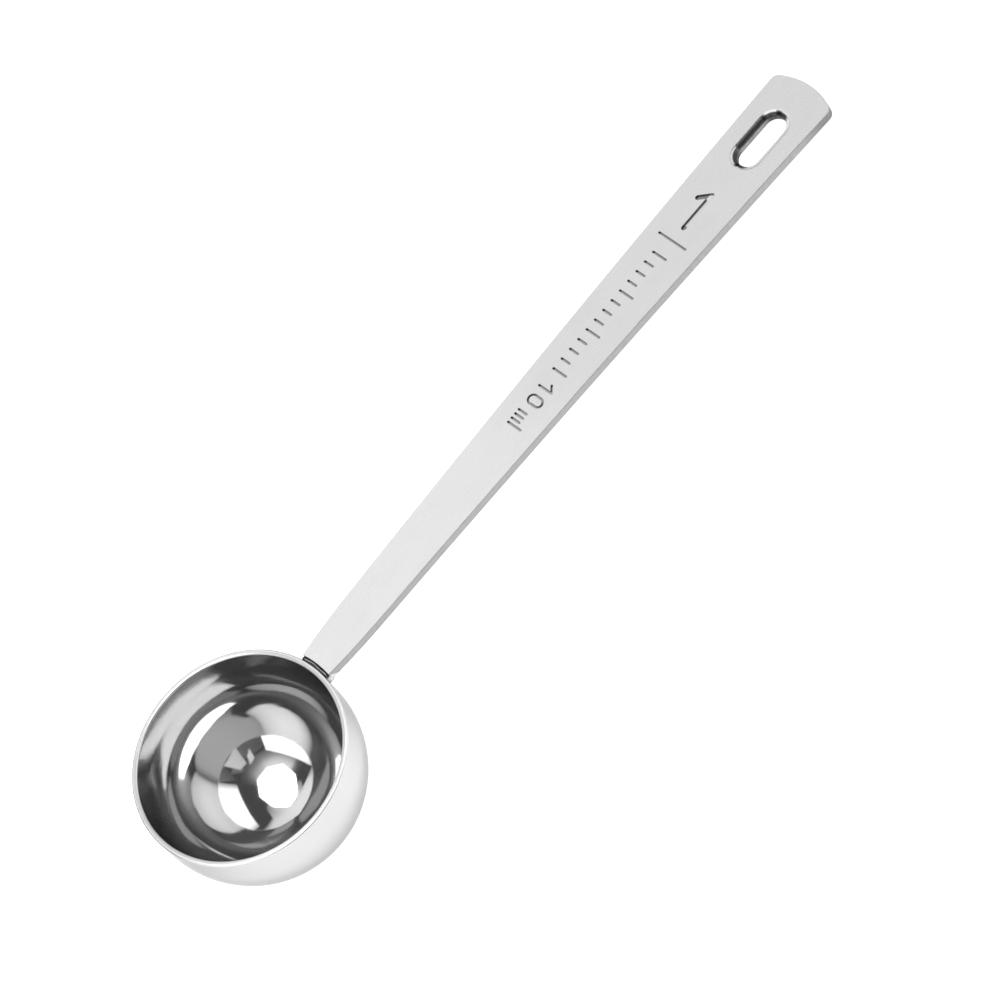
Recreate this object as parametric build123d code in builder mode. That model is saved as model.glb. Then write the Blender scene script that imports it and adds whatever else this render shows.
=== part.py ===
"""Small long-handled measuring spoon in stainless steel.

Two stamped pieces, welded together: a deep round bowl that holds ten millilitres, and
a flat strip handle that is butt-welded to the bowl's outer wall level with the rim.
The spoon is placed as it lies on a table, on the bottom of its bowl and on the tip of its
handle. +X runs from the bowl to the tip, +Z is up, and the origin is under its middle.
"""
import os
from math import asin, atan2, cos, degrees, hypot, sin, sqrt, tan

from build123d import *

# Bowl: a hemisphere under a short straight wall
bowl_inner_radius = 15.0
bowl_wall = 0.7
bowl_straight_height = 4.4
rim_round = 0.2

# Handle: a strip that widens to its free end and arches a little
handle_length = 102.2
handle_thickness = 1.5
handle_end_width = 10.85
handle_neck_width = 6.55
handle_root_width = 5.2
handle_neck_length = 10.0
handle_arch = 0.8
handle_drop = 2.2
handle_end_bulge = 1.45
handle_corner_radius = 1.3
handle_edge_round = 0.12

# Hanging slot: its throat, the flare of its upper lip, the rounding of its lower lip, and
# its place from the end's corners
slot_length = 8.8
slot_width = 3.5
slot_setback = 8.75
slot_flare = 0.75
slot_flare_depth = 0.45
slot_under_round = 0.15

# Weld: the gap it fills, how far its top bead passes the handle's sides, and the bead under
# the handle, which stops short of them
weld_gap = 0.6
weld_side_reach = 0.35
weld_sink = 0.2
under_weld_leg = 1.3
under_weld_crown = 0.25
under_weld_inset = 0.3

# Stamped marks: depth and stroke, and places along the handle from the end's corners
mark_depth = 0.3
large_stroke = 0.75
small_stroke = 0.34
large_one_height = 5.9
large_one_flag = 1.5
flag_slope_share = 0.87
large_one_foot_setback = 24.9
underline_length = 5.0
underline_setback = 27.3
scale_start_setback = 30.0
scale_pitch = 1.75
scale_steps = 12
scale_minor_height = 1.5
scale_major_height = 2.4
scale_major_every = 4
small_figure_height = 2.4
small_one_flag = 0.9
small_zero_width = 1.7
small_one_setback = 54.0
small_zero_setback = 56.1
tail_start_setback = 58.3
tail_pitch = 0.75
tail_minor_ticks = 3

# How far cutting shapes run past what they cut
overrun = 3.0

# Sizes that follow from those above
bowl_outer_radius = bowl_inner_radius + bowl_wall
root_radius = bowl_outer_radius + weld_gap
neck_x = root_radius + handle_neck_length
end_corner_x = root_radius + handle_length
tip_x = end_corner_x + handle_end_bulge
root_half, neck_half, end_half = handle_root_width / 2, handle_neck_width / 2, handle_end_width / 2

# The handle's arch is one circle through the root and the tip, seen from the side
arch_chord = hypot(tip_x - root_radius, handle_drop)
arch_radius = arch_chord**2 / (8 * handle_arch) + handle_arch / 2
chord_fall = atan2(handle_drop, tip_x - root_radius)
arch_center_x = (root_radius + tip_x) / 2 - (arch_radius - handle_arch) * sin(chord_fall)
arch_center_z = -handle_drop / 2 - (arch_radius - handle_arch) * cos(chord_fall)
tip_fall = asin((tip_x - arch_center_x) / arch_radius)


def arch_height(x, radius):
    """Height over the rim of a circle about the arch's centre, at x from the bowl's axis."""
    return arch_center_z + sqrt(radius**2 - (x - arch_center_x) ** 2)


# How the spoon lies: a floor that touches the bowl's hemisphere and the tip's lower edge
round_x = tip_x - handle_edge_round
tip_low = arch_height(tip_x, arch_radius - handle_thickness)
low_round_z = tip_low + handle_edge_round * (tan(tip_fall) + 1 / cos(tip_fall))
tip_high = arch_height(tip_x, arch_radius)
high_round_z = tip_high + handle_edge_round * (tan(tip_fall) - 1 / cos(tip_fall))
low_round_rise = low_round_z + bowl_straight_height
contact_span = hypot(round_x, low_round_rise)
rest_tilt = atan2(low_round_rise, round_x) + asin((bowl_outer_radius - handle_edge_round) / contact_span)
high_round_reach = round_x * cos(rest_tilt) + (high_round_z + bowl_straight_height) * sin(rest_tilt)
bowl_center_x = (bowl_outer_radius - high_round_reach - handle_edge_round) / 2
rim_center_x = bowl_center_x + bowl_straight_height * sin(rest_tilt)
rim_center_z = bowl_outer_radius + bowl_straight_height * cos(rest_tilt)

# Planes of the spoon itself: the rim, seen from above, and its middle, seen from the side
rim_plane = Plane(
    origin=(rim_center_x, 0, rim_center_z),
    x_dir=(cos(rest_tilt), 0, -sin(rest_tilt)),
    z_dir=(sin(rest_tilt), 0, cos(rest_tilt)),
)
side_plane = Plane(origin=rim_plane.origin, x_dir=rim_plane.x_dir, z_dir=-rim_plane.y_dir)
bowl_axis = Axis(rim_plane.origin, rim_plane.z_dir)
handle_axis = Axis(rim_plane.origin, rim_plane.x_dir)

# Bowl, turned about its axis
inner_rim, outer_rim = (bowl_inner_radius, 0), (bowl_outer_radius, 0)
inner_foot = (bowl_inner_radius, -bowl_straight_height)
outer_foot = (bowl_outer_radius, -bowl_straight_height)
inner_bottom = (0, -bowl_straight_height - bowl_inner_radius)
outer_bottom = (0, -bowl_straight_height - bowl_outer_radius)

with BuildPart() as bowl:
    with BuildSketch(side_plane):
        with BuildLine():
            Line(inner_rim, outer_rim)
            Line(outer_rim, outer_foot)
            RadiusArc(outer_foot, outer_bottom, bowl_outer_radius)
            Line(outer_bottom, inner_bottom)
            RadiusArc(inner_bottom, inner_foot, -bowl_inner_radius)
            Line(inner_foot, inner_rim)
        make_face()
    revolve(axis=bowl_axis)
    rim_edges = bowl.faces().sort_by(bowl_axis)[-1].edges()
    fillet(rim_edges, radius=rim_round)


def arch_layer(top_offset, depth):
    """Part of the handle's arch between two circles about its centre, seen from the side."""
    with Locations((arch_center_x, arch_center_z)):
        Circle(arch_radius + top_offset)
        Circle(arch_radius - depth, mode=Mode.SUBTRACT)


def stroke(start, end, width):
    """One straight stamped stroke with round ends."""
    with Locations(((start[0] + end[0]) / 2, (start[1] + end[1]) / 2)):
        length = hypot(end[0] - start[0], end[1] - start[1])
        SlotCenterToCenter(length, width, rotation=degrees(atan2(end[1] - start[1], end[0] - start[0])))


# Stamped marks: plain figures and a plain scale, sunk to one depth under the arched top
with BuildPart() as marks:
    with BuildSketch(rim_plane):
        foot_x = end_corner_x - large_one_foot_setback
        head_x = foot_x + large_one_height
        stroke((foot_x, 0), (head_x, 0), large_stroke)
        stroke((head_x, 0), (head_x - large_one_flag * flag_slope_share, large_one_flag), large_stroke)
        underline_x = end_corner_x - underline_setback
        stroke((underline_x, -underline_length / 2), (underline_x, underline_length / 2), small_stroke)
        baseline_y = small_figure_height / 2
        for step in range(scale_steps + 1):
            tick_x = end_corner_x - scale_start_setback - step * scale_pitch
            tick_height = scale_minor_height
            if step % scale_major_every == 0:
                tick_height = scale_major_height
            stroke((tick_x, baseline_y), (tick_x, baseline_y - tick_height), small_stroke)
        one_x = end_corner_x - small_one_setback
        one_top_y = baseline_y - small_figure_height
        stroke((one_x, baseline_y), (one_x, one_top_y), small_stroke)
        flag_end = (one_x + small_one_flag, one_top_y + small_one_flag * flag_slope_share)
        stroke((one_x, one_top_y), flag_end, small_stroke)
        with Locations((end_corner_x - small_zero_setback, 0)):
            zero_length = small_figure_height + small_stroke
            SlotOverall(zero_length, small_zero_width, rotation=90)
            SlotOverall(
                zero_length - 2 * small_stroke,
                small_zero_width - 2 * small_stroke,
                rotation=90,
                mode=Mode.SUBTRACT,
            )
        for step in range(tail_minor_ticks + 1):
            tick_x = end_corner_x - tail_start_setback - step * tail_pitch
            tick_height = scale_minor_height
            if step == tail_minor_ticks:
                tick_height = scale_major_height
            stroke((tick_x, baseline_y), (tick_x, baseline_y - tick_height), small_stroke)
    extrude(amount=handle_drop + overrun, both=True)
    with BuildSketch(side_plane):
        arch_layer(overrun, mark_depth)
    extrude(amount=handle_end_width, both=True, mode=Mode.INTERSECT)

# Handle, cut from an arched sheet by its outline and by the bowl's round
with BuildPart() as handle:
    with BuildSketch(rim_plane):
        with BuildLine():
            lower_side = Line((neck_x, -neck_half), (end_corner_x, -end_half))
            lower_neck, lower_root = (neck_x, -neck_half), (bowl_outer_radius, -root_half)
            TangentArc(lower_neck, lower_root, tangent=lower_side % 0 * -1)
            ThreePointArc((end_corner_x, -end_half), (tip_x, 0), (end_corner_x, end_half))
            upper_side = Line((neck_x, neck_half), (end_corner_x, end_half))
            upper_neck, upper_root = (neck_x, neck_half), (bowl_outer_radius, root_half)
            TangentArc(upper_neck, upper_root, tangent=upper_side % 0 * -1)
            Line(upper_root, lower_root)
        make_face()
        end_corners = vertices().sort_by(handle_axis)[-2:]
        fillet(end_corners, radius=handle_corner_radius)
    extrude(amount=handle_drop + overrun, both=True)
    with BuildSketch(side_plane):
        arch_layer(0, handle_thickness)
    extrude(amount=handle_end_width, both=True, mode=Mode.INTERSECT)
    broad_faces = handle.faces().sort_by(SortBy.AREA)[-2:]
    outer_edges = broad_faces[0].edges() + broad_faces[1].edges()
    fillet(outer_edges.sort_by(handle_axis)[2:], radius=handle_edge_round)
    with BuildSketch(rim_plane):
        Circle(root_radius)
        with Locations((end_corner_x - slot_setback, 0)):
            SlotOverall(slot_length, slot_width)
    extrude(amount=handle_drop + overrun, both=True, mode=Mode.SUBTRACT)
    under_face = handle.faces().sort_by(SortBy.AREA)[-2:].sort_by(Axis.Z)[0]
    fillet(under_face.inner_wires().edges(), radius=slot_under_round)
    top_face = handle.faces().sort_by(SortBy.AREA)[-2:].sort_by(Axis.Z)[1]
    flare_edges = top_face.inner_wires().edges()
    chamfer(flare_edges, length=slot_flare, length2=slot_flare_depth, reference=top_face)
    add(marks.part, mode=Mode.SUBTRACT)


def weld_start(half_angle):
    """Upright plane through the bowl's axis, at that many degrees to the handle's right."""
    x_dir = rim_plane.x_dir.rotate(Axis((0, 0, 0), rim_plane.z_dir), -half_angle)
    return Plane(origin=rim_plane.origin, x_dir=x_dir, z_dir=x_dir.cross(rim_plane.z_dir))


# Welds, turned about the bowl's axis between the bowl's wall and the handle's end
top_half_angle = degrees(asin((root_half + weld_side_reach) / root_radius))
under_half_angle = degrees(asin((root_half - under_weld_inset) / root_radius))
gap_middle = bowl_outer_radius + weld_gap / 2
weld_joint_z = -handle_thickness / 2
bead_shoulder_z = -weld_sink - weld_gap / 2

with BuildPart() as top_weld:
    with BuildSketch(weld_start(top_half_angle)):
        with BuildLine():
            Line((bowl_outer_radius, bead_shoulder_z), (bowl_outer_radius, weld_joint_z))
            Line((bowl_outer_radius, weld_joint_z), (root_radius, weld_joint_z))
            Line((root_radius, weld_joint_z), (root_radius, bead_shoulder_z))
            ThreePointArc(
                (root_radius, bead_shoulder_z),
                (gap_middle, -weld_sink),
                (bowl_outer_radius, bead_shoulder_z),
            )
        make_face()
    revolve(axis=bowl_axis, revolution_arc=2 * top_half_angle)

with BuildPart() as under_weld:
    toe_x = root_radius + under_weld_leg
    toe_z = -handle_thickness - under_weld_leg
    crown_x = (toe_x + bowl_outer_radius) / 2 + under_weld_crown
    crown_z = (toe_z - handle_thickness) / 2 - under_weld_crown
    with BuildSketch(weld_start(under_half_angle)):
        with BuildLine():
            Line((bowl_outer_radius, weld_joint_z), (root_radius, weld_joint_z))
            Line((root_radius, weld_joint_z), (root_radius, -handle_thickness))
            Line((root_radius, -handle_thickness), (toe_x, -handle_thickness))
            ThreePointArc((toe_x, -handle_thickness), (crown_x, crown_z), (bowl_outer_radius, toe_z))
            Line((bowl_outer_radius, toe_z), (bowl_outer_radius, weld_joint_z))
        make_face()
    revolve(axis=bowl_axis, revolution_arc=2 * under_half_angle)

# Each piece in its own file
os.makedirs("parts", exist_ok=True)
bowl.part.label = "bowl"
export_step(bowl.part, "parts/bowl.step")
handle.part.label = "handle"
export_step(handle.part, "parts/handle.step")
top_weld.part.label = "top_weld"
export_step(top_weld.part, "parts/top_weld.step")
under_weld.part.label = "under_weld"
export_step(under_weld.part, "parts/under_weld.step")
print("tilt in degrees", degrees(rest_tilt))
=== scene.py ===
"""Looks of the small measuring spoon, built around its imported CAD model.

Lengths are in metres, apart from the places that the finishes use, which are in millimetres.
Every object is in the frame of the CAD model: the spoon lies on the floor z = 0 on its bowl and
its tip, with +X from the bowl to the tip.
"""

from math import asin, atan2, cos, degrees, exp, pi, radians, sin, sqrt, tan

import bpy
from mathutils import Matrix, Quaternion, Vector


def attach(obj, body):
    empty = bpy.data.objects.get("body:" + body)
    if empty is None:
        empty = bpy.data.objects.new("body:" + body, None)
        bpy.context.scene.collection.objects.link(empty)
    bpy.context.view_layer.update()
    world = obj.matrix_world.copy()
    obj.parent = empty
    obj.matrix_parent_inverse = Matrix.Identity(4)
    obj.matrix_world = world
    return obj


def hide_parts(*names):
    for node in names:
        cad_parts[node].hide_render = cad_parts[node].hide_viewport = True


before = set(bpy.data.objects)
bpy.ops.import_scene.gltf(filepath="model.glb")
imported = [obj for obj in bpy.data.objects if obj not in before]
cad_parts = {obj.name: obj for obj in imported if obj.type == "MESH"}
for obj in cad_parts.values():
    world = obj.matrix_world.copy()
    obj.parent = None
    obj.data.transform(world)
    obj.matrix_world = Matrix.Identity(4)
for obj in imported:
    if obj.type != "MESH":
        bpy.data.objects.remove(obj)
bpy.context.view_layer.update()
scene = bpy.context.scene

MM = 0.001

# The spoon's own frame: the rim's centre, with x along the handle and z out of the mouth
REST_TILT = radians(7.8645919)
RIM_CENTER = Vector((-51.1021123, 0.0, 20.0586145)) * MM
SPOON = Matrix.Translation(RIM_CENTER) @ Matrix.Rotation(REST_TILT, 4, "Y")
MOUTH_UP = SPOON.to_3x3() @ Vector((0, 0, 1))

# Bowl. The outer radius keeps its skin just inside the facets of the CAD's.
INNER_RADIUS = 15.0 * MM
OUTER_RADIUS = 15.69 * MM
STRAIGHT_HEIGHT = 4.4 * MM
RIM_ROUND = 0.2 * MM

# Handle, and the gap between it and the bowl that the weld fills
HANDLE_THICKNESS = 1.5 * MM
ROOT_HALF = 2.6 * MM
ROOT_RADIUS = 16.3 * MM


def new_mesh(name, points, faces):
    """A smooth mesh object from points given in the spoon's own frame."""
    mesh = bpy.data.meshes.new(name)
    mesh.from_pydata([SPOON @ Vector(p) for p in points], [], faces)
    mesh.validate()
    mesh.polygons.foreach_set("use_smooth", [True] * len(mesh.polygons))
    mesh.update()
    made = bpy.data.objects.new(name, mesh)
    scene.collection.objects.link(made)
    return made


# Nodes of a material

def shader_nodes(name):
    """A new material, its node tree and its Principled shader."""
    material = bpy.data.materials.new(name)
    material.use_nodes = True
    tree = material.node_tree
    return material, tree, tree.nodes["Principled BSDF"]


METALLIC = 0.96


def steel_shader(name, grey, edge):
    """A metal shader with its grey and its edge tint, and its material and node tree."""
    material, tree, shader = shader_nodes(name)
    shader.inputs["Base Color"].default_value = (grey, grey, grey, 1)
    shader.inputs["Metallic"].default_value = METALLIC
    shader.inputs["Specular Tint"].default_value = (edge, edge, edge, 1)
    return material, tree, shader


def add(tree, kind, **settings):
    """A new node with those settings."""
    node = tree.nodes.new(kind)
    for key, value in settings.items():
        setattr(node, key, value)
    return node


def feed(tree, sockets, values):
    """Gives each socket its link or its number."""
    for socket, value in zip(sockets, values):
        if isinstance(value, (int, float)):
            socket.default_value = value
        else:
            tree.links.new(value, socket)


def joined(tree, operation, *values):
    """The output of a math node fed with links or numbers."""
    node = add(tree, "ShaderNodeMath", operation=operation)
    feed(tree, node.inputs, values)
    return node.outputs[0]


def plus(tree, a, b):
    """The sum of two values."""
    return joined(tree, "ADD", a, b)


def times(tree, a, b):
    """The product of two values."""
    return joined(tree, "MULTIPLY", a, b)


def minus(tree, a, b):
    """The first value less the second."""
    return joined(tree, "SUBTRACT", a, b)


def away(tree, value, middle):
    """How far a value is from a middle, either way."""
    return joined(tree, "ABSOLUTE", minus(tree, value, middle))


def length(tree, a, b):
    """The length of a leg a and a leg b at right angles."""
    return joined(tree, "SQRT", plus(tree, times(tree, a, a), times(tree, b, b)))


def spread(tree, value, start, end):
    """A value carried smoothly from the range start to the range end and held past it."""
    node = add(tree, "ShaderNodeMapRange", interpolation_type="SMOOTHSTEP")
    feed(tree, node.inputs[:5], (value, *start, *end))
    return node.outputs["Result"]


def blend(tree, share, low, high):
    """A value that goes from low to high with the share."""
    node = add(tree, "ShaderNodeMix", data_type="FLOAT")
    feed(tree, (node.inputs[0], node.inputs[2], node.inputs[3]), (share, low, high))
    return node.outputs[0]


def parts(tree, point):
    """The x, y and z of a point."""
    node = add(tree, "ShaderNodeSeparateXYZ")
    tree.links.new(point, node.inputs[0])
    return node.outputs


def object_point(tree):
    """Each point in metres, in the CAD model's frame."""
    return add(tree, "ShaderNodeTexCoord").outputs["Object"]


def spoon_point(tree):
    """Each point in the spoon's own frame, in millimetres."""
    turn = add(tree, "ShaderNodeMapping")
    inverse = SPOON.inverted()
    turn.inputs["Location"].default_value = inverse.translation
    turn.inputs["Rotation"].default_value = inverse.to_euler()
    tree.links.new(object_point(tree), turn.inputs["Vector"])
    grow = add(tree, "ShaderNodeVectorMath", operation="SCALE")
    grow.inputs["Scale"].default_value = 1 / MM
    tree.links.new(turn.outputs[0], grow.inputs[0])
    return grow.outputs[0]


def noise(tree, point, waves, detail=2.0, rough=0.5):
    """Noise over a point in millimetres, with its own number of waves per millimetre each way."""
    scale = add(tree, "ShaderNodeVectorMath", operation="MULTIPLY")
    scale.inputs[1].default_value = waves
    tree.links.new(point, scale.inputs[0])
    node = add(tree, "ShaderNodeTexNoise")
    node.inputs["Scale"].default_value = 1
    node.inputs["Detail"].default_value = detail
    node.inputs["Roughness"].default_value = rough
    tree.links.new(scale.outputs[0], node.inputs["Vector"])
    return node.outputs["Fac"]


def bump(tree, height, strength, distance, normal=None):
    """A bump from a height, over another bump or bevel if one is given."""
    node = add(tree, "ShaderNodeBump")
    node.inputs["Strength"].default_value = strength
    node.inputs["Distance"].default_value = distance
    tree.links.new(height, node.inputs["Height"])
    if normal is not None:
        tree.links.new(normal, node.inputs["Normal"])
    return node.outputs["Normal"]


def grey_color(tree, value):
    """A grey colour from a value."""
    node = add(tree, "ShaderNodeCombineColor")
    feed(tree, node.inputs[:3], (value, value, value))
    return node.outputs[0]


SHARE = (0, 1)
FALL = (1, 0)
NOISE_RANGE = (0.3, 0.7)

# Bowl's finish, with places in millimetres in the spoon's own frame. Each name in _X, _Y, _Z,
# _RADIUS, _REACH, _DEPTH or _RANGE is the range over which a value changes, and the name beside it
# holds the two values. A _NOISE is its waves per millimetre each way, detail and roughness, and a
# _BUMP its strength and height.
RING_NOISE = (0.8, 0.8, 5.0), 3.0, 0.6
WAVE_NOISE = (1.3, 1.3, 0.7), 1.0
SMUDGE_NOISE = (0.16, 0.16, 0.16), 3.0, 0.6
HAIRLINE_NOISE = (0.5, 9.0, 3.0), 1.0
WAVE_BUMP, RING_BUMP = (0.25, 0.02 * MM), (0.25, 0.0025 * MM)
BOWL_GREY, BOWL_EDGE = 0.47, 0.6
OUTSIDE_REACH = (15.3, 15.5)
# Painted light: the outside is painted lighter than the inside, and lighter still towards the handle
OUTSIDE_LIT_X, OUTSIDE_LIT_GREY = (0, 12), (0.54, 0.61)
OUTSIDE_HAZE = (0, 0.12)
# Painted shade on the rim's top and on its outer edge, strongest on the far side
RIM_TOP_Z, RIM_TOP_SHADE = (-0.2, -0.05), (1, 0.8)
RIM_EDGE_RADIUS, RIM_EDGE_Z, RIM_EDGE_SHADE = (15.48, 15.58), (-0.32, -0.2), (1, 0.5)
RIM_EDGE_Y, RIM_EDGE_SHARE = (-7, 2), (0.25, 1)
RIM_HAZE_Z, RIM_HAZE = (-0.35, -0.15), (0, 0.25)
WALL_HAZE_Z, WALL_HAZE = (-7, -4.5), (0, 0.02)
WALL_SMEAR_Z, WALL_SMEAR, WALL_SMEAR_TURN = (-8, -5), 0.7, 0.25
RING_RANGE, RING_ROUGH = (0.35, 0.7), (0.05, 0.075)
SMUDGE_RANGE, SMUDGE_ROUGH = (0.5, 0.72), (0, 0.03)
HAIRLINE_RANGE, HAIRLINE_ROUGH = (0.7, 0.8), (0, 0.05)
AXIS_GUARD = 0.001


def bowl_grey(tree, x, y, z, radius, outside):
    """Grey of the steel: painted light makes the outside lighter, more so towards the handle, and
    painted shade darkens the rim's top and outer edge, most on its far side.
    """
    grey = blend(tree, outside, BOWL_GREY, spread(tree, x, OUTSIDE_LIT_X, OUTSIDE_LIT_GREY))
    # Painted shade on the rim's outer edge, strongest on the far side, and then on its top
    edge = spread(tree, radius, RIM_EDGE_RADIUS, SHARE)
    edge = times(tree, edge, spread(tree, z, RIM_EDGE_Z, SHARE))
    edge = times(tree, edge, spread(tree, y, RIM_EDGE_Y, RIM_EDGE_SHARE))
    grey = times(tree, grey, spread(tree, edge, SHARE, RIM_EDGE_SHADE))
    return times(tree, grey, spread(tree, z, RIM_TOP_Z, RIM_TOP_SHADE))


def bowl_polish():
    """Mirror polish with fine rings left by turning, faint smudges and a few hairlines."""
    material, tree, shader = steel_shader("bowl_polish", BOWL_GREY, BOWL_EDGE)
    point = spoon_point(tree)
    x, y, z = parts(tree, point)
    radius = length(tree, x, y)
    below = plus(tree, z, STRAIGHT_HEIGHT / MM)
    reach = length(tree, radius, joined(tree, "MINIMUM", below, 0))
    outside = spread(tree, reach, OUTSIDE_REACH, SHARE)
    grey = bowl_grey(tree, x, y, z, radius, outside)
    tree.links.new(grey_color(tree, grey), shader.inputs["Base Color"])

    latitude = joined(tree, "ARCTAN2", radius, times(tree, below, -1))
    safe_radius = plus(tree, radius, AXIS_GUARD)
    around = add(tree, "ShaderNodeCombineXYZ")
    feed(tree, around.inputs, (
        joined(tree, "DIVIDE", x, safe_radius),
        joined(tree, "DIVIDE", y, safe_radius),
        times(tree, latitude, OUTER_RADIUS / MM),
    ))
    rings = noise(tree, around.outputs[0], *RING_NOISE)
    waves = noise(tree, around.outputs[0], *WAVE_NOISE)
    smudges = noise(tree, point, *SMUDGE_NOISE)
    hairlines = noise(tree, point, *HAIRLINE_NOISE)
    rough = spread(tree, rings, RING_RANGE, RING_ROUGH)
    for more in (
        spread(tree, outside, SHARE, OUTSIDE_HAZE),
        spread(tree, smudges, SMUDGE_RANGE, SMUDGE_ROUGH),
        spread(tree, hairlines, HAIRLINE_RANGE, HAIRLINE_ROUGH),
        spread(tree, z, WALL_HAZE_Z, WALL_HAZE),
        spread(tree, z, RIM_HAZE_Z, RIM_HAZE),
    ):
        rough = plus(tree, rough, more)
    tree.links.new(rough, shader.inputs["Roughness"])
    low = bump(tree, waves, *WAVE_BUMP)
    tree.links.new(bump(tree, rings, *RING_BUMP, low), shader.inputs["Normal"])

    # The straight wall's polish runs round the axis and smears what it mirrors up and down
    inside = spread(tree, outside, SHARE, FALL)
    wall_share = times(tree, spread(tree, z, WALL_SMEAR_Z, SHARE), inside)
    tree.links.new(times(tree, wall_share, WALL_SMEAR), shader.inputs["Anisotropic"])
    shader.inputs["Anisotropic Rotation"].default_value = WALL_SMEAR_TURN
    from_rim = add(tree, "ShaderNodeVectorMath", operation="SUBTRACT")
    tree.links.new(object_point(tree), from_rim.inputs[0])
    from_rim.inputs[1].default_value = RIM_CENTER
    round_axis = add(tree, "ShaderNodeVectorMath", operation="CROSS_PRODUCT")
    round_axis.inputs[0].default_value = MOUTH_UP
    tree.links.new(from_rim.outputs[0], round_axis.inputs[1])
    tree.links.new(round_axis.outputs[0], shader.inputs["Tangent"])
    return material


# Handle's finish, named as the bowl's is
GRAIN_NOISE = (0.2, 9.0, 9.0), 3.0, 0.6
SCUFF_NOISE = (0.1, 0.22, 0.22), 3.0, 0.6
EDGE_NOISE = (6.0, 6.0, 0.8), 3.0, 0.7
GRAIN_BUMP = (0.015, 0.004 * MM)
HANDLE_GREY, HANDLE_EDGE = 0.54, 0.7
LOOK_SAMPLES = 6

# The arch: the circle of the handle's top face, seen from the side
ROOT_X = ROOT_RADIUS / MM
ARCH_RISE = 0.8
TIP_X, TIP_DROP = 119.95, 2.2
arch_chord = sqrt((TIP_X - ROOT_X) ** 2 + TIP_DROP ** 2)
ARCH_RADIUS = arch_chord ** 2 / (8 * ARCH_RISE) + ARCH_RISE / 2
chord_fall = atan2(TIP_DROP, TIP_X - ROOT_X)
ARCH_X = (ROOT_X + TIP_X) / 2 - (ARCH_RADIUS - ARCH_RISE) * sin(chord_fall)
ARCH_Z = -TIP_DROP / 2 - (ARCH_RADIUS - ARCH_RISE) * cos(chord_fall)

# Broad faces and blanked edges, told apart by how flat they lie
BROAD_FLAT, BLANKED_FLAT = (0.9, 0.985), (0.5, 0.75)
# The top's grey falls along TOP_X: painted shade towards the tip
TOP_X, TOP_GREY = (48, 70), (0.518, 0.474)
SCUFF_GREY = (-0.006, 0.008)
SATIN_ROUGH, LIP_ROUGH, EDGE_ROUGH = (0.26, 0.275), 0.3, (0.3, 0.4)
EDGE_GREY = (0.29, 0.35)
# Painted shade on the blanked edges near the tip
TIP_SHADE_X, TIP_SHADE = (112, 117), (1, 0.65)
EDGE_BEVEL, SLOT_BEVEL = 0.07 * MM, 0.3 * MM
# Painted shade in hollows, such as the stamped grooves, from ambient occlusion; left off at the slot
HOLLOW_REACH, HOLLOW_RANGE, HOLLOW_SHADE = 0.28 * MM, (0.35, 0.95), (0.25, 1)

# A painted highlight on the root's lower corner
ROOT_HIGHLIGHT_DEPTH, ROOT_HIGHLIGHT_X, ROOT_HIGHLIGHT_GREY = (0.35, 0.55), (18.4, 19.2), 0.6

# Slot: its middle, half the length of its straight sides, and distances from its middle line
SLOT_CENTER, SLOT_STRAIGHT = 109.75, 2.65
SLOT_REACH, SLOT_WALL_REACH, SLOT_FOOT_REACH = (3.0, 3.3), (2.15, 2.35), (2.4, 2.5)
SLOT_FOOT_DEPTH = (0.9, 1.0)
SLOT_GRAIN = (0.7, 1.3)
# Painted shade inside the slot, by depth and darker at its round ends, and painted light on its near
# wall
SLOT_UPPER_DEPTH, SLOT_UPPER_GREY = (0.3, 0.9), (0.12, 0.3)
SLOT_LOWER_DEPTH, SLOT_LOWER_SHADE = (1.1, 1.35), (1, 0.45)
SLOT_END_X, SLOT_END_SHADE = (2.2, 3.6), (1, 0.3)
SLOT_NEAR_Y, SLOT_NEAR_GREY, SLOT_LIP_ROUGH = (-1.4, -0.4), 0.7, (0.5, 0.14)

# Painted shade in the deep parts of the large figure, and a softer painted shade in the small marks
STAMPED_DEPTH = (0.05, 0.2)
FLAG_Y, FLAG_X, FLAG_HALF = (0.4, 0.5), 98.8, 1.6
FOOT_Y, FOOT_X, FOOT_HALF = (0.5, 0.6), 93.4, 0.6
SMALL_MARKS_X = (92.6, 92.8)
DEEP_SHADE, SMALL_SHADE = (1, 0.35), (1, 0.75)


def stamp_shade(tree, x, y, depth):
    """Painted shade on the stamped marks' floors."""
    stamped = spread(tree, depth, STAMPED_DEPTH, SHARE)
    flag = times(tree, spread(tree, y, FLAG_Y, SHARE), joined(tree, "COMPARE", x, FLAG_X, FLAG_HALF))
    foot = spread(tree, joined(tree, "ABSOLUTE", y), FOOT_Y, FALL)
    foot = times(tree, foot, joined(tree, "COMPARE", x, FOOT_X, FOOT_HALF))
    deep_shade = times(tree, stamped, joined(tree, "MAXIMUM", flag, foot))
    small = times(tree, stamped, spread(tree, x, SMALL_MARKS_X, FALL))
    return times(tree, spread(tree, deep_shade, SHARE, DEEP_SHADE), spread(tree, small, SHARE, SMALL_SHADE))


def slot_wall_grey(tree, x, y, depth, edge_grain):
    """Grey inside the slot: painted shade on the far wall, varying with depth and darker in the round
    ends, and painted light on the near wall.
    """
    grey = times(tree, spread(tree, depth, SLOT_UPPER_DEPTH, SLOT_UPPER_GREY),
                 spread(tree, depth, SLOT_LOWER_DEPTH, SLOT_LOWER_SHADE))
    grey = times(tree, spread(tree, edge_grain, NOISE_RANGE, SLOT_GRAIN), grey)
    grey = times(tree, grey, spread(tree, away(tree, x, SLOT_CENTER), SLOT_END_X, SLOT_END_SHADE))
    return blend(tree, spread(tree, y, SLOT_NEAR_Y, FALL), grey, SLOT_NEAR_GREY)


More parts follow.
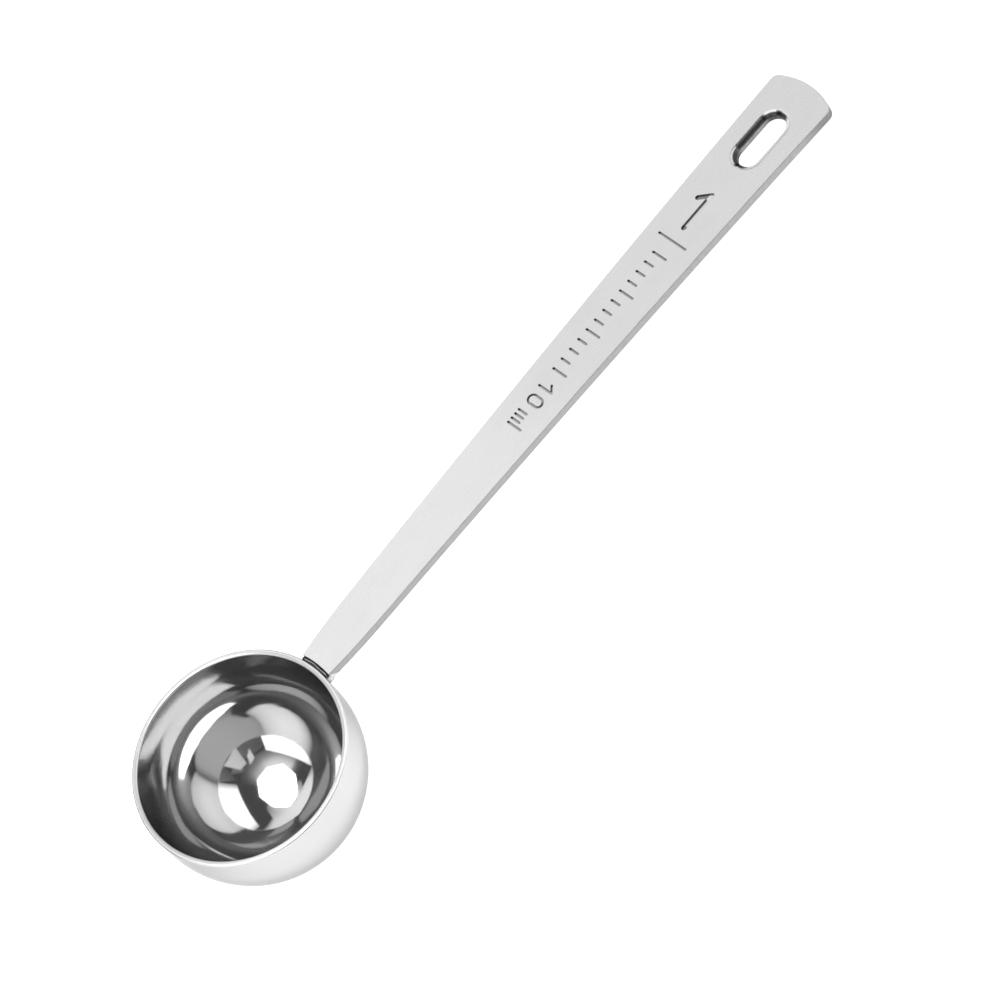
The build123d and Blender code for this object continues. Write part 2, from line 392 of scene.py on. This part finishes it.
def handle_satin():
    """Satin polish with lengthwise grain on the broad faces and darker, rougher blanked edges, with
    painted shade towards the tip, in the hollows, in the stamped marks and inside the slot, and painted
    light at the root and on the slot's near wall.
    """
    material, tree, shader = steel_shader("handle_satin", HANDLE_GREY, HANDLE_EDGE)
    point = spoon_point(tree)
    x, y, z = parts(tree, point)
    past_straight = minus(tree, away(tree, x, SLOT_CENTER), SLOT_STRAIGHT)
    from_slot = length(tree, joined(tree, "MAXIMUM", past_straight, 0), y)
    at_slot = spread(tree, from_slot, SLOT_REACH, FALL)
    from_arch = length(tree, minus(tree, x, ARCH_X), minus(tree, z, ARCH_Z))
    depth = minus(tree, ARCH_RADIUS, from_arch)
    facing = add(tree, "ShaderNodeVectorMath", operation="DOT_PRODUCT")
    facing.inputs[1].default_value = MOUTH_UP
    tree.links.new(add(tree, "ShaderNodeNewGeometry").outputs["True Normal"], facing.inputs[0])
    flat = joined(tree, "ABSOLUTE", facing.outputs["Value"])
    broad = spread(tree, flat, BROAD_FLAT, SHARE)
    blanked = spread(tree, flat, BLANKED_FLAT, FALL)
    grain = noise(tree, point, *GRAIN_NOISE)
    scuffs = noise(tree, point, *SCUFF_NOISE)
    edge_grain = noise(tree, point, *EDGE_NOISE)

    # Painted shade: the top darkens towards the tip
    top_grey = spread(tree, x, TOP_X, TOP_GREY)
    top_grey = plus(tree, top_grey, spread(tree, scuffs, NOISE_RANGE, SCUFF_GREY))
    top_grey = times(tree, top_grey, stamp_shade(tree, x, y, depth))
    edge_grey = spread(tree, edge_grain, NOISE_RANGE, EDGE_GREY)
    # Painted shade on the edges near the tip
    edge_grey = times(tree, edge_grey, spread(tree, x, TIP_SHADE_X, TIP_SHADE))
    # A painted highlight on the root's lower corner
    root_highlight = spread(tree, minus(tree, depth, minus(tree, x, ROOT_X)), ROOT_HIGHLIGHT_DEPTH, SHARE)
    root_highlight = times(tree, root_highlight, spread(tree, x, ROOT_HIGHLIGHT_X, FALL))
    edge_grey = blend(tree, root_highlight, edge_grey, ROOT_HIGHLIGHT_GREY)
    grey = blend(tree, blanked, top_grey, edge_grey)
    foot = spread(tree, from_slot, SLOT_FOOT_REACH, FALL)
    foot = times(tree, foot, spread(tree, depth, SLOT_FOOT_DEPTH, SHARE))
    in_slot = joined(tree, "MAXIMUM", spread(tree, from_slot, SLOT_WALL_REACH, FALL), foot)
    slot_grey = slot_wall_grey(tree, x, y, depth, edge_grain)
    grey = blend(tree, times(tree, at_slot, in_slot), grey, slot_grey)
    # Painted shade in hollows from ambient occlusion, away from the slot
    hollow_shade = add(tree, "ShaderNodeAmbientOcclusion", samples=LOOK_SAMPLES)
    hollow_shade.inputs["Distance"].default_value = HOLLOW_REACH
    open_share = spread(tree, hollow_shade.outputs["AO"], HOLLOW_RANGE, HOLLOW_SHADE)
    grey = times(tree, grey, blend(tree, at_slot, open_share, 1))
    tree.links.new(grey_color(tree, grey), shader.inputs["Base Color"])

    lip = blend(tree, at_slot, LIP_ROUGH, spread(tree, y, SLOT_NEAR_Y, SLOT_LIP_ROUGH))
    flat_rough = blend(tree, broad, lip, spread(tree, grain, NOISE_RANGE, SATIN_ROUGH))
    edge_rough = spread(tree, edge_grain, NOISE_RANGE, EDGE_ROUGH)
    tree.links.new(blend(tree, blanked, flat_rough, edge_rough), shader.inputs["Roughness"])
    bevel = add(tree, "ShaderNodeBevel", samples=LOOK_SAMPLES)
    tree.links.new(spread(tree, at_slot, SHARE, (EDGE_BEVEL, SLOT_BEVEL)), bevel.inputs["Radius"])
    tree.links.new(bump(tree, grain, *GRAIN_BUMP, bevel.outputs[0]), shader.inputs["Normal"])
    return material


# Weld metal, named as the bowl's finish is: darker at the seam's ends, and with a painted highlight
# low on its near side
MOTTLE_NOISE = (3.0, 3.0, 3.0), 4.0, 0.65
MOTTLE_BUMP = (0.4, 0.03 * MM)
WELD_EDGE = 0.6
WELD_MOTTLE = (0.7, 1.15)
WELD_ROUGH = (0.42, 0.28)
WELD_END_Y, WELD_END_SHADE = (1.9, 2.4), (1, 0.25)
WELD_HIGHLIGHT_Y, WELD_HIGHLIGHT_Z, WELD_HIGHLIGHT_GREY = (-1.9, -1.7), (-0.6, -0.5), 0.6


def weld_metal(name, grey):
    """Frozen weld metal: dull and mottled, darker at its ends, with a painted highlight low on its near
    side.
    """
    material, tree, shader = steel_shader(name, grey, WELD_EDGE)
    point = spoon_point(tree)
    x, y, z = parts(tree, point)
    mottle = noise(tree, point, *MOTTLE_NOISE)
    ends = spread(tree, joined(tree, "ABSOLUTE", y), WELD_END_Y, WELD_END_SHADE)
    mottled = spread(tree, mottle, NOISE_RANGE, [grey * share for share in WELD_MOTTLE])
    # A painted highlight low on the weld's near side
    weld_highlight = times(tree, spread(tree, y, WELD_HIGHLIGHT_Y, FALL), spread(tree, z, WELD_HIGHLIGHT_Z, FALL))
    metal_grey = blend(tree, weld_highlight, times(tree, mottled, ends), WELD_HIGHLIGHT_GREY)
    tree.links.new(grey_color(tree, metal_grey), shader.inputs["Base Color"])
    tree.links.new(spread(tree, mottle, NOISE_RANGE, WELD_ROUGH), shader.inputs["Roughness"])
    tree.links.new(bump(tree, mottle, *MOTTLE_BUMP), shader.inputs["Normal"])
    return material


# Bowl: one turned skin, inside and out

def arc(center, radius, start, end, steps):
    """Points of an arc in the profile's plane, angles in degrees."""
    turns = [radians(start + (end - start) * i / steps) for i in range(steps + 1)]
    return [(center[0] + radius * cos(a), center[1] + radius * sin(a)) for a in turns]


def turned(name, profile, segments):
    """A closed skin turned about the bowl's axis; the profile starts and ends on the axis."""
    points = [(0, 0, profile[0][1])]
    inner = profile[1:-1]
    for r, z in inner:
        for k in range(segments):
            a = 2 * pi * k / segments
            points.append((r * cos(a), r * sin(a), z))
    points.append((0, 0, profile[-1][1]))
    faces = []
    last = len(points) - 1
    for k in range(segments):
        n = (k + 1) % segments
        faces.append((0, 1 + k, 1 + n))
        for row in range(len(inner) - 1):
            a, b = 1 + row * segments, 1 + (row + 1) * segments
            faces.append((a + k, b + k, b + n, a + n))
        end = 1 + (len(inner) - 1) * segments
        faces.append((end + k, last, end + n))
    return new_mesh(name, points, faces)


# The drawn inner skin leaves its cylinder and dome a little: (place, depth) of each smooth swell,
# both in millimetres, with the place along the profile from the rim and the depth into the wall
SWELLS = (
    (0, -0.057), (2.5, -0.02), (5, -0.068), (7.5, 0.027), (10, 0.1125), (12.5, 0.066),
    (15, 0.088), (18, 0.104), (21, 0.105), (24.5, 0.138), (28, 0.266),
)
SWELL_WIDTH = 2.6
BOWL_SEGMENTS = 288
DOME_STEPS, WALL_STEPS, RIM_STEPS = 110, 24, 6
OUTER_WALL_STEPS, OUTER_DOME_STEPS = 10, 64


def drawn(place):
    """Depth of the drawn skin into the wall at a place along the profile from the rim."""
    return sum(depth * exp(-((place / MM - middle) / SWELL_WIDTH) ** 2) for middle, depth in SWELLS) * MM


def bowl_profile():
    """The bowl's section, from the middle of its inside over the rim to the middle of its outside."""
    profile = []
    for i in range(DOME_STEPS + 1):
        a = pi / 2 * (1 - i / DOME_STEPS)
        r = INNER_RADIUS + drawn(STRAIGHT_HEIGHT + INNER_RADIUS * a)
        profile.append((r * cos(a), -STRAIGHT_HEIGHT - r * sin(a)))
    for i in range(1, WALL_STEPS):
        place = STRAIGHT_HEIGHT + (RIM_ROUND - STRAIGHT_HEIGHT) * i / WALL_STEPS
        profile.append((INNER_RADIUS + drawn(place), -place))
    rim_inner = INNER_RADIUS + drawn(RIM_ROUND) + RIM_ROUND
    profile += arc((rim_inner, -RIM_ROUND), RIM_ROUND, 180, 90, RIM_STEPS)
    profile += arc((OUTER_RADIUS - RIM_ROUND, -RIM_ROUND), RIM_ROUND, 90, 0, RIM_STEPS)
    for i in range(1, OUTER_WALL_STEPS):
        place = RIM_ROUND + (STRAIGHT_HEIGHT - RIM_ROUND) * i / OUTER_WALL_STEPS
        profile.append((OUTER_RADIUS, -place))
    profile += arc((0, -STRAIGHT_HEIGHT), OUTER_RADIUS, 0, -90, OUTER_DOME_STEPS)
    profile[0] = (0, profile[0][1])
    profile[-1] = (0, profile[-1][1])
    return profile


bowl = turned("bowl_skin", bowl_profile(), BOWL_SEGMENTS)
bowl.data.materials.append(bowl_polish())
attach(bowl, "root")
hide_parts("bowl")

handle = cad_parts["handle"]
handle.material_slots[0].material = handle_satin()

# Weld beads: a section carried round the bowl's axis, with ripples along it
BEAD_STEPS = 160
JOINT_Z = -HANDLE_THICKNESS / 2
RIPPLE_LEAN, RIPPLE_GAIN = 0.6, 2.3

# Seam bead: how far it passes the handle's edges, how deep its crest lies, its ripples, and how
# it wanders and falls off sideways
SEAM_GREY = 0.2
SEAM_OVERHANG = 0.12 * MM
SEAM_HALF_ANGLE = asin((ROOT_HALF + SEAM_OVERHANG) / ROOT_RADIUS)
SEAM_SINK, SEAM_RIPPLE_PITCH, SEAM_RIPPLE, SEAM_PHASE = 0.28 * MM, 0.33 * MM, 0.06 * MM, 0.3
SEAM_END_FALL, SEAM_END_SHARE = 0.25 * MM, 0.8
SEAM_WANDERS = ((0.05 * MM, 0.9 * MM), (0.04 * MM, 0.37 * MM))
SEAM_CROWN_REACH, SEAM_CROWN_FALL, SEAM_CROWN_POWER = 0.3 * MM, 0.3 * MM, 1.7
SEAM_FLOOR = 0.05 * MM
SEAM_POINTS = 13

# Under bead: how far it stops short of the handle's edges, its leg, its crown and its ripples
UNDER_GREY = 0.35
UNDER_SETBACK = 0.3 * MM
UNDER_HALF_ANGLE = asin((ROOT_HALF - UNDER_SETBACK) / ROOT_RADIUS)
UNDER_LEG, UNDER_CROWN = 1.3 * MM, 0.25 * MM
UNDER_RIPPLE_PITCH, UNDER_RIPPLE, UNDER_PHASE = 0.55 * MM, 0.07 * MM, 0.1
UNDER_END_SHARE, UNDER_END_LOSS = 0.7, 0.3
UNDER_POINTS = 17


def bead(name, half_angle, section):
    """A bead from -half_angle to half_angle. section(a) gives its ring of (r, z) at angle a."""
    angles = [-half_angle + 2 * half_angle * i / BEAD_STEPS for i in range(BEAD_STEPS + 1)]
    points = []
    for a in angles:
        points += [(r * cos(a), r * sin(a), z) for r, z in section(a)]
    ring = len(points) // (BEAD_STEPS + 1)
    faces = [tuple(range(ring - 1, -1, -1)), tuple(range(BEAD_STEPS * ring, (BEAD_STEPS + 1) * ring))]
    for i in range(BEAD_STEPS):
        for j in range(ring):
            n = (j + 1) % ring
            a, b = i * ring, (i + 1) * ring
            faces.append((a + j, a + n, b + n, b + j))
    return new_mesh(name, points, faces)


def ripple(a, pitch, depth, phase):
    """Height of the weld's scales at that angle: steep on one side, as frozen weld pools are."""
    turn = a * ROOT_RADIUS / pitch + phase
    share = turn - int(turn // 1)
    return depth * (share ** RIPPLE_LEAN * (1 - share) * RIPPLE_GAIN)


def end_share(a, half_angle, start):
    """0 along the bead's middle and 1 at its ends, growing from the share start of its half."""
    return max(0, (abs(a) / half_angle - start) / (1 - start)) ** 2


def seam_section(a):
    """Section of the bead in the seam: sunk, crowned, and lower towards its ends."""
    sink = SEAM_SINK + SEAM_RIPPLE + SEAM_END_FALL * end_share(a, SEAM_HALF_ANGLE, SEAM_END_SHARE)
    crest = ripple(a, SEAM_RIPPLE_PITCH, SEAM_RIPPLE, SEAM_PHASE) - sink
    lean = sum(reach * sin(a * ROOT_RADIUS / wave) for reach, wave in SEAM_WANDERS)
    middle = (OUTER_RADIUS + ROOT_RADIUS) / 2 + lean
    ring = [(OUTER_RADIUS, JOINT_Z), (ROOT_RADIUS, JOINT_Z)]
    for i in range(SEAM_POINTS):
        r = ROOT_RADIUS - (ROOT_RADIUS - OUTER_RADIUS) * i / (SEAM_POINTS - 1)
        off_crest = min(1, abs(r - middle) / SEAM_CROWN_REACH)
        z = crest - SEAM_CROWN_FALL * off_crest ** SEAM_CROWN_POWER
        ring.append((r, max(z, JOINT_Z + SEAM_FLOOR)))
    return ring


def under_section(a):
    """Section of the bead under the handle: a rippled fillet from the bowl to the handle."""
    leg = UNDER_LEG * (1 - UNDER_END_LOSS * end_share(a, UNDER_HALF_ANGLE, UNDER_END_SHARE))
    swell = UNDER_CROWN - UNDER_RIPPLE + ripple(a, UNDER_RIPPLE_PITCH, UNDER_RIPPLE, UNDER_PHASE)
    toe = Vector((ROOT_RADIUS + leg, -HANDLE_THICKNESS))
    heel = Vector((OUTER_RADIUS, -HANDLE_THICKNESS - leg))
    out = (toe - heel).orthogonal().normalized()
    if out.y > 0:
        out = -out
    ring = [(OUTER_RADIUS, JOINT_Z), (ROOT_RADIUS, JOINT_Z), (ROOT_RADIUS, -HANDLE_THICKNESS)]
    for i in range(UNDER_POINTS):
        t = i / (UNDER_POINTS - 1)
        bow = swell * 4 * t * (1 - t)
        ring.append(tuple(toe + (heel - toe) * t + out * bow))
    return ring


for node, name, half_angle, section, grey in (
    ("top_weld", "seam_bead", SEAM_HALF_ANGLE, seam_section, SEAM_GREY),
    ("under_weld", "under_bead", UNDER_HALF_ANGLE, under_section, UNDER_GREY),
):
    made = bead(name, half_angle, section)
    made.data.materials.append(weld_metal(name + "_metal", grey))
    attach(made, "root")
    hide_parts(node)

# Studio: a white table, a tent of three lit walls open at the front, and a lamp above. All of it
# is placed about the bowl.
STUDIO_CENTER = Vector((-52.0, 0.0, 12.0)) * MM
WALL_DISTANCE = 0.8
SHEET_ROWS, WALL_COLUMNS, PATCH_COLUMNS, HALO_COLUMNS = 12, 40, 12, 48


def glowing(name):
    """Light whose strength comes from the glow stored at each point of its mesh."""
    material = bpy.data.materials.new(name)
    material.use_nodes = True
    tree = material.node_tree
    tree.nodes.clear()
    glow = add(tree, "ShaderNodeAttribute", attribute_name="glow")
    emission = add(tree, "ShaderNodeEmission")
    output = add(tree, "ShaderNodeOutputMaterial")
    tree.links.new(glow.outputs["Fac"], emission.inputs["Strength"])
    tree.links.new(emission.outputs[0], output.inputs["Surface"])
    return material


GLOW = glowing("studio_glow")


def lit(name, points, faces, glows):
    """A lit sheet that only shows in reflections and in its light."""
    mesh = bpy.data.meshes.new(name)
    mesh.from_pydata([STUDIO_CENTER + Vector(p) for p in points], [], faces)
    mesh.attributes.new("glow", "FLOAT", "POINT").data.foreach_set("value", glows)
    mesh.update()
    made = bpy.data.objects.new(name, mesh)
    scene.collection.objects.link(made)
    made.data.materials.append(GLOW)
    made.visible_camera = False
    return made


def lit_grid(name, rows, columns, place, glow):
    """A lit sheet over shares (u, v) from 0 to 1: place(u, v) is its point, glow(u, v) its strength."""
    points, glows, faces = [], [], []
    for j in range(rows + 1):
        for i in range(columns + 1):
            u, v = i / columns, j / rows
            points.append(place(u, v))
            glows.append(glow(u, v))
    for j in range(rows):
        for i in range(columns):
            a = j * (columns + 1) + i
            faces.append((a, a + 1, a + columns + 2, a + columns + 1))
    return lit(name, points, faces, glows)


def toward(azimuth, zenith, reach):
    """The point at that reach in a direction given in degrees, azimuth from +X towards +Y."""
    a, z = radians(azimuth), radians(zenith)
    return Vector((cos(a) * sin(z), sin(a) * sin(z), cos(z))) * reach


def overhead(x, y, reach):
    """The point at that reach, x degrees from the zenith towards +X and y towards +Y."""
    return toward(degrees(atan2(y, x)), sqrt(x * x + y * y), reach)


def stepped(value, stops):
    """Value read off straight runs between the stops, each (place, value)."""
    if value <= stops[0][0]:
        return stops[0][1]
    for (a, low), (b, high) in zip(stops, stops[1:]):
        if value <= b:
            return low + (high - low) * (value - a) / (b - a)
    return stops[-1][1]


def wall(name, azimuth, ends, top, glow):
    """An upright wall facing the spoon. ends are its left and right ends in degrees either side of
    azimuth, each at its foot and at its top, and top is its height as a share of its distance.
    glow(turn, height) gives its strength, with turn in degrees to the left of azimuth."""
    out = toward(azimuth, 90, WALL_DISTANCE)
    side = Vector((-out.y, out.x, 0))
    up = Vector((0, 0, WALL_DISTANCE))
    (left_foot, left_top), (right_foot, right_top) = ends

    def turn(u, v):
        left = left_foot + (left_top - left_foot) * v
        right = right_foot + (right_top - right_foot) * v
        return -right + (left + right) * u

    def place(u, v):
        return out + side * tan(radians(turn(u, v))) + up * top * v

    lit_grid(name, SHEET_ROWS, WALL_COLUMNS, place, lambda u, v: glow(turn(u, v), top * v))


def mixed(values, u, v):
    """Value inside a square from the values at its four corners, in turn."""
    a, b, c, d = values
    return (a * (1 - u) + b * u) * (1 - v) + (d * (1 - u) + c * u) * v


def patch(name, corners, glows, reach):
    """A sheet overhead whose four corners are given as (x, y) degrees from the zenith, in turn,
    with a strength at each."""

    def place(u, v):
        x = mixed([corner[0] for corner in corners], u, v)
        y = mixed([corner[1] for corner in corners], u, v)
        return overhead(x, y, reach)

    lit_grid(name, SHEET_ROWS, PATCH_COLUMNS, place, lambda u, v: mixed(glows, u, v))


# Strength of each wall over its turn in degrees and over its height as a share of its distance
LEFT_TURN = [(-44.5, 0.8), (-40, 2.3), (-34, 3.0), (-15, 3.3), (43, 3.3)]
LEFT_HEIGHT = [(0.6, 1.0), (1.0, 0.82), (1.4, 0.73), (1.73, 0.7)]
RIGHT_TURN = [(-31, 0.6), (-24, 2.2), (-14, 3.2), (10, 3.3), (25, 2.8), (35, 2.2), (41, 0.9)]
RIGHT_HEIGHT = [(0.3, 1.1), (0.6, 1.03), (1.0, 0.95), (1.2, 0.9)]
BACK_TURN = [(-56, 0.1), (-53, 0.7), (-49, 1.35), (-30, 1.5), (0, 1.62), (30, 1.6), (50, 1.5), (57, 0.9),
             (63, 0.4)]
BACK_HEIGHT = [(2.2, 1), (2.7, 0.85)]
BACK_FOOT, BACK_FOOT_GLOW = [(0.9, 1.0), (1.3, 0.0)], 1.4

# Each wall's azimuth, its ends and its top, as wall() takes them
LEFT_AZIMUTH, LEFT_ENDS, LEFT_TOP = 192, ((36, 43), (44.5, 44.5)), 1.73
RIGHT_AZIMUTH, RIGHT_ENDS, RIGHT_TOP = -20, ((41, 41), (31, 31)), 1.206
BACK_AZIMUTH, BACK_ENDS, BACK_TOP = 84, ((63.5, 63.5), (56, 56)), 2.7


def back_glow(turn, height):
    """The back wall's strength: its right end fades out high up and stays bright low down."""
    foot_share = stepped(height, BACK_FOOT) if turn < 0 else 0
    glow = stepped(turn, BACK_TURN)
    return (glow + (max(glow, BACK_FOOT_GLOW) - glow) * foot_share) * stepped(height, BACK_HEIGHT)


wall("left_wall", LEFT_AZIMUTH, LEFT_ENDS, LEFT_TOP,
     lambda turn, height: stepped(turn, LEFT_TURN) * stepped(height, LEFT_HEIGHT))
wall("right_wall", RIGHT_AZIMUTH, RIGHT_ENDS, RIGHT_TOP,
     lambda turn, height: stepped(turn, RIGHT_TURN) * stepped(height, RIGHT_HEIGHT))
wall("back_wall", BACK_AZIMUTH, BACK_ENDS, BACK_TOP, back_glow)

# An eight-sided lamp: the direction of its middle in degrees right and in front of the zenith
LAMP_RIGHT, LAMP_FRONT = 1.6, 0.7
LAMP_REACH, LAMP_HALF_WIDTH, LAMP_STRENGTH = 1.2, 21.8, 7.5
LAMP_SIDES = 8
lamp_center = Vector((sin(radians(LAMP_RIGHT)), -sin(radians(LAMP_FRONT)), 1)).normalized()
across = lamp_center.cross(Vector((0, 1, 0))).normalized()
along = across.cross(lamp_center)
lamp_radius = LAMP_REACH * tan(radians(LAMP_HALF_WIDTH))
lamp_turns = [2 * pi * (i + 0.5) / LAMP_SIDES for i in range(LAMP_SIDES)]
ring = [lamp_center * LAMP_REACH + (across * cos(a) + along * sin(a)) * lamp_radius for a in lamp_turns]
lit("lamp", ring, [tuple(range(LAMP_SIDES))], [LAMP_STRENGTH] * LAMP_SIDES)

# The satin handle takes dimmer light than the polished bowl from the side walls and the lamp:
# these leave it out, and panels of their size and place light it alone
all_but_handle = bpy.data.collections.new("all_but_handle")
all_but_handle.objects.link(handle)
all_but_handle.collection_objects[0].light_linking.link_state = "EXCLUDE"
only_handle = bpy.data.collections.new("only_handle")
only_handle.objects.link(handle)
for name in ("left_wall", "right_wall", "lamp"):
    scene.objects[name].light_linking.receiver_collection = all_but_handle

PANEL_DISTANCE = 0.78
LEFT_PANEL_SIZE, LEFT_PANEL_HEIGHT, LEFT_PANEL_GLOW = (1.3, 1.38), 0.69, 1.7
RIGHT_PANEL_SIZE, RIGHT_PANEL_HEIGHT, RIGHT_PANEL_GLOW = (1.25, 0.96), 0.48, 1.6
LAMP_PANEL_SIZE, LAMP_PANEL_REACH, LAMP_PANEL_GLOW = (0.9, 0.9), 1.15, 1.9


def handle_light(name, place, outward, size, glow):
    """A lit panel of that size and strength for the handle alone, with its back to outward."""
    data = bpy.data.lights.new(name, "AREA")
    data.shape = "RECTANGLE"
    data.size, data.size_y = size
    data.energy = glow * pi * size[0] * size[1]
    made = bpy.data.objects.new(name, data)
    scene.collection.objects.link(made)
    made.location = STUDIO_CENTER + place
    made.rotation_mode = "QUATERNION"
    made.rotation_quaternion = outward.to_track_quat("Z", "Y")
    made.visible_camera = False
    made.light_linking.receiver_collection = only_handle


for name, azimuth, size, height, glow in (
    ("left_panel", LEFT_AZIMUTH, LEFT_PANEL_SIZE, LEFT_PANEL_HEIGHT, LEFT_PANEL_GLOW),
    ("right_panel", RIGHT_AZIMUTH, RIGHT_PANEL_SIZE, RIGHT_PANEL_HEIGHT, RIGHT_PANEL_GLOW),
):
    outward = Vector((cos(radians(azimuth)), sin(radians(azimuth)), 0))
    handle_light(name, outward * PANEL_DISTANCE + Vector((0, 0, height)), outward, size, glow)
handle_light("lamp_panel", lamp_center * LAMP_PANEL_REACH, lamp_center, LAMP_PANEL_SIZE, LAMP_PANEL_GLOW)

# A pale ring of tent cloth left of and in front of the lamp, fading outwards
HALO_REACH = 1.8
HALO_CENTER = (1.6, -1)
HALO_START, HALO_TURN = 155, 155
HALO_INNER, HALO_WIDTH = 18, 21
HALO_LEAST = 0.07
HALO_FALL_GLOW = [(20, 1.5), (24.5, 1.25), (26.5, 1.1), (28.5, 0.85), (30, 0.68), (32, 0.5), (35, 0.3),
                  (39, 0.15)]
HALO_TURN_GLOW = [(155, 0), (168, 0.15), (173, 0.5), (178, 0.95), (220, 1), (245, 0.9), (262, 0.6),
                  (280, 0.5), (295, 0.2), (310, 0)]


def halo_spot(u, v):
    """Azimuth and distance in degrees from the halo's middle."""
    return HALO_START + HALO_TURN * u, HALO_INNER + HALO_WIDTH * v


def halo_place(u, v):
    """Point of the halo."""
    azimuth, zenith = halo_spot(u, v)
    x = HALO_CENTER[0] + zenith * cos(radians(azimuth))
    y = HALO_CENTER[1] + zenith * sin(radians(azimuth))
    return overhead(x, y, HALO_REACH)


def halo_glow(u, v):
    """Strength of the halo."""
    azimuth, zenith = halo_spot(u, v)
    return HALO_LEAST + stepped(zenith, HALO_FALL_GLOW) * stepped(azimuth, HALO_TURN_GLOW)


lit_grid("lamp_halo", SHEET_ROWS, HALO_COLUMNS, halo_place, halo_glow)

# Tent cloth between the walls and the lamp, and what the open front lets in
patch("back_corner", [(8, 23), (21, 1), (28, 4), (32, 23)], [1.6, 1.0, 0.1, 1.3], 1.9)
patch("back_top", [(-14, 23), (-18, 15), (-7, 12), (-3, 21)], [0.9, 0.35, 0.9, 1.7], 1.9)
patch("low_corner", [(56.4, 20.5), (73.3, 26.7), (66, 41), (50.9, 31.8)], [0.9, 1.4, 1.4, 1.2], 1.7)
patch("front_window", [(-8, -37.5), (1.5, -37), (-5, -45), (-13.5, -47.5)], [1.3, 1.2, 1.4, 1.2], 1.7)
patch("front_wedge", [(2, -41), (12, -42), (20.5, -58), (-6, -61)], [1.0, 1.2, 1.2, 1.0], 1.7)
patch("front_veil", [(0, -30), (5, -32), (24, -47), (17, -49)], [0.35, 0.25, 0.2, 0.3], 1.85)
patch("front_low", [(-30, -34), (-2, -44), (-4, -62), (-38, -50)], [0.13, 0.22, 0.24, 0.13], 1.9)
patch("front_right", [(24, -38), (40, -50), (30, -62), (20, -60)], [0.15, 0.35, 0.2, 0.15], 1.9)

# Faint light from everywhere else
WORLD_GLOW = 0.07
world = bpy.data.worlds.new("studio")
scene.world = world
world.use_nodes = True
background = world.node_tree.nodes["Background"]
background.inputs["Color"].default_value = (1, 1, 1, 1)
background.inputs["Strength"].default_value = WORLD_GLOW

# Table and backdrop
FLOOR_RADIUS, FLOOR_SIDES = 5.0, 96
MIRRORED_DROP, BLEACHED_DROP = 0.02 * MM, 0.01 * MM
MIRRORED_GREY, MIRRORED_GLOW_Y, MIRRORED_GLOW = 0.45, (-0.015, 0.05), (0.7, 0.15)
BLEACHED_GREY, BLEACHED_GLOW = 0.3, 0.88
TABLE_ROUGH = 0.9
BACKDROP_SHARE, BACKDROP_HEIGHT, BACKDROP_SINK = 0.98, 2.0, 0.03


def table(name, drop, grey, glow):
    """A round white table top just below the floor's height."""
    points = [toward(360 * i / FLOOR_SIDES, 90, FLOOR_RADIUS) for i in range(FLOOR_SIDES)]
    mesh = bpy.data.meshes.new(name)
    mesh.from_pydata([(p.x, p.y, -drop) for p in points], [], [list(range(FLOOR_SIDES))])
    made = bpy.data.objects.new(name, mesh)
    scene.collection.objects.link(made)
    material, tree, shader = shader_nodes(name + "_white")
    shader.inputs["Base Color"].default_value = (grey, grey, grey, 1)
    shader.inputs["Roughness"].default_value = TABLE_ROUGH
    shader.inputs["Specular IOR Level"].default_value = 0
    shader.inputs["Emission Color"].default_value = (1, 1, 1, 1)
    shader.inputs["Emission Strength"].default_value = glow
    made.data.materials.append(material)
    return made


def backdrop_place(u, v):
    """Point of the backdrop."""
    foot = toward(360 * u, 90, BACKDROP_SHARE * FLOOR_RADIUS)
    return foot + Vector((0, 0, BACKDROP_HEIGHT * v - BACKDROP_SINK))


# The table that lights and mirrors in the steel, brighter in front than behind
mirrored = table("table_light", MIRRORED_DROP, MIRRORED_GREY, MIRRORED_GLOW[0])
mirrored.visible_camera = False
tree = mirrored.active_material.node_tree
floor_glow = spread(tree, parts(tree, object_point(tree))[1], MIRRORED_GLOW_Y, MIRRORED_GLOW)
tree.links.new(floor_glow, tree.nodes["Principled BSDF"].inputs["Emission Strength"])

# The bleached table and the backdrop round its edge, which only the camera sees
bleached = table("table_top", BLEACHED_DROP, BLEACHED_GREY, BLEACHED_GLOW)
backdrop = lit_grid("backdrop", 1, FLOOR_SIDES, backdrop_place, lambda u, v: 1.0)
backdrop.visible_camera = True
for sheet in (bleached, backdrop):
    sheet.visible_diffuse = False
    sheet.visible_glossy = False
    sheet.visible_transmission = False
    sheet.visible_shadow = False

# Camera at the photograph's angle
AIM = Vector((-2.938, -3.71435, 10.0)) * MM
CAMERA_DISTANCE = 807.974 * MM
CAMERA_AZIMUTH = radians(1.01209)
CAMERA_ELEVATION = radians(57.41471)
CAMERA_ROLL = radians(55.41931)
LENS, SENSOR = 216, 36
CLIP_START, CLIP_END = 0.01, 20
back = Vector((
    sin(CAMERA_AZIMUTH) * cos(CAMERA_ELEVATION),
    -cos(CAMERA_AZIMUTH) * cos(CAMERA_ELEVATION),
    sin(CAMERA_ELEVATION),
))
camera_data = bpy.data.cameras.new("camera")
camera_data.lens = LENS
camera_data.sensor_width = SENSOR
camera_data.clip_start = CLIP_START
camera_data.clip_end = CLIP_END
camera = bpy.data.objects.new("camera", camera_data)
scene.collection.objects.link(camera)
camera.location = AIM + back * CAMERA_DISTANCE
camera.rotation_mode = "QUATERNION"
camera.rotation_quaternion = (-back).to_track_quat("-Z", "Y") @ Quaternion((0, 0, 1), -CAMERA_ROLL)
scene.camera = camera
scene.view_settings.view_transform = "Standard"
